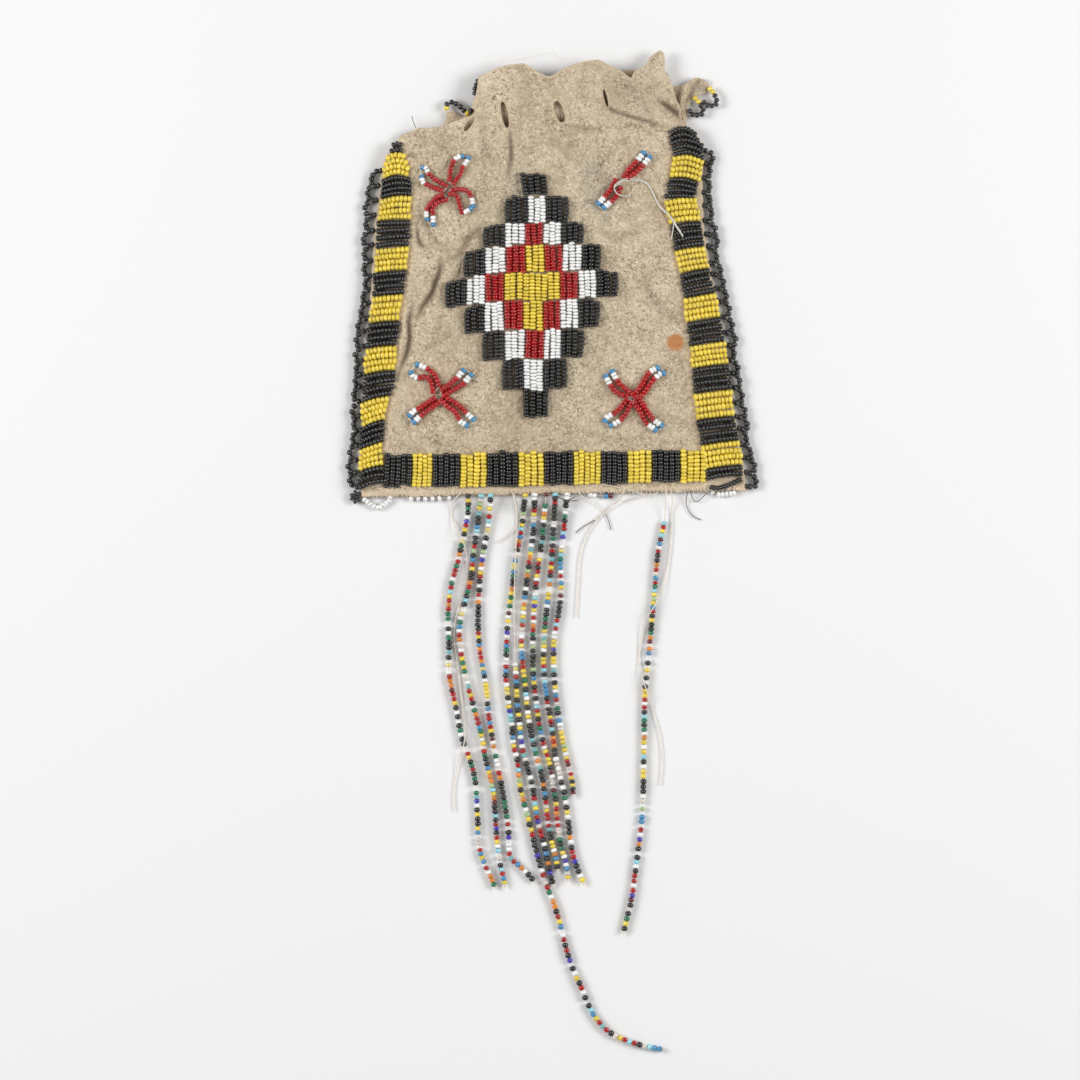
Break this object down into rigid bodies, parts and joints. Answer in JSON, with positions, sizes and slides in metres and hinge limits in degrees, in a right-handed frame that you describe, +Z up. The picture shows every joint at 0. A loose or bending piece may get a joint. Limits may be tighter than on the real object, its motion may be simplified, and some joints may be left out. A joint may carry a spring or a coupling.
{
  "type": "beaded hide drawstring pouch",
  "caption": "Flat hide pouch with lane-stitched glass bead bands, a stepped diamond, crossed rows, looped bead edging and a long bead fringe.",
  "frame": {"origin": "on the underside of the back panel, near the middle of the pouch, on the surface that it lies on", "axes": "+X to the right of the beaded front, +Y from the bottom seam to the mouth, +Z up, out of the beaded front"},
  "size_m": [0.1412, 0.3407, 0.0104],
  "materials": {
    "hide": "brain-tanned, worn, matte",
    "band_beads": "opaque black and yellow glass beads",
    "diamond_beads": "opaque black, white, yellow and clear red glass beads",
    "motif_beads": "red, white and blue glass beads",
    "black_beads": "opaque black glass beads",
    "white_beads": "opaque white glass beads",
    "fringe_beads": "mixed glass beads",
    "thread": "cotton sewing thread"
  },
  "bodies": {
    "bag": {"front_panel": "hide", "back_panel": "hide", "left_side_band": "band_beads", "right_side_band": "band_beads", "bottom_band": "band_beads", "diamond_lane_1": "diamond_beads", "diamond_lane_2": "diamond_beads", "diamond_lane_3": "diamond_beads", "diamond_lane_4": "diamond_beads", "diamond_lane_5": "diamond_beads", "diamond_lane_6": "diamond_beads", "diamond_lane_7": "diamond_beads", "diamond_lane_8": "diamond_beads", "diamond_lane_9": "diamond_beads", "upper_left_star": "motif_beads", "upper_right_bar": "motif_beads", "lower_left_cross": "motif_beads", "lower_right_cross": "motif_beads", "left_side_edging": "black_beads", "right_side_edging": "black_beads", "bottom_edging_left": "white_beads", "bottom_edging_middle": "white_beads", "bottom_edging_right": "white_beads", "left_ear_loop": "black_beads", "left_mouth_beads": "black_beads", "right_ear_loop_upper": "black_beads", "right_ear_loop_lower": "black_beads", "loose_thread_centre": "thread"},
    "mouth_flap": {"front_mouth_flap": "hide"},
    "strand_left_1": {"fringe_left_1": "fringe_beads", "loose_thread_left": "thread"},
    "strand_left_2": {"fringe_left_2": "fringe_beads"},
    "strand_left_3": {"fringe_left_3": "fringe_beads"},
    "strand_centre_1": {"fringe_centre_1": "fringe_beads", "fringe_centre_6": "fringe_beads"},
    "strand_centre_2": {"fringe_centre_2": "fringe_beads"},
    "strand_centre_3": {"fringe_centre_3": "fringe_beads"},
    "strand_centre_4": {"fringe_centre_4": "fringe_beads"},
    "strand_centre_5": {"fringe_centre_5": "fringe_beads"},
    "strand_right": {"fringe_right": "fringe_beads", "loose_thread_right": "thread"}
  },
  "joints": [
    {"name": "mouth_open", "type": "hinge", "parent": "bag", "child": "mouth_flap", "pos_m": [0, 0.04759, 0.0082], "axis": [1, 0, 0], "range_deg": [0, 75]},
    {"name": "swing_left_1", "type": "hinge", "parent": "bag", "child": "strand_left_1", "pos_m": [-0.02921, -0.0727, 0.004], "axis": [-1, 0, 0], "range_deg": [0, 150]},
    {"name": "swing_left_2", "type": "hinge", "parent": "bag", "child": "strand_left_2", "pos_m": [-0.02463, -0.07262, 0.004], "axis": [-1, 0, 0], "range_deg": [0, 150]},
    {"name": "swing_left_3", "type": "hinge", "parent": "bag", "child": "strand_left_3", "pos_m": [-0.02142, -0.07257, 0.004], "axis": [-1, 0, 0], "range_deg": [0, 150]},
    {"name": "swing_centre_1", "type": "hinge", "parent": "bag", "child": "strand_centre_1", "pos_m": [-0.00969, -0.07237, 0.004], "axis": [-1, 0, 0], "range_deg": [0, 150]},
    {"name": "swing_centre_2", "type": "hinge", "parent": "bag", "child": "strand_centre_2", "pos_m": [-0.00655, -0.07232, 0.004], "axis": [-1, 0, 0], "range_deg": [0, 150]},
    {"name": "swing_centre_3", "type": "hinge", "parent": "bag", "child": "strand_centre_3", "pos_m": [-0.00262, -0.07225, 0.004], "axis": [-1, 0, 0], "range_deg": [0, 150]},
    {"name": "swing_centre_4", "type": "hinge", "parent": "bag", "child": "strand_centre_4", "pos_m": [0.00046, -0.0722, 0.004], "axis": [-1, 0, 0], "range_deg": [0, 150]},
    {"name": "swing_centre_5", "type": "hinge", "parent": "bag", "child": "strand_centre_5", "pos_m": [0.00452, -0.07214, 0.004], "axis": [-1, 0, 0], "range_deg": [0, 150]},
    {"name": "swing_right", "type": "hinge", "parent": "bag", "child": "strand_right", "pos_m": [0.03806, -0.07157, 0.004], "axis": [-1, 0, 0], "range_deg": [0, 150]}
  ]
}
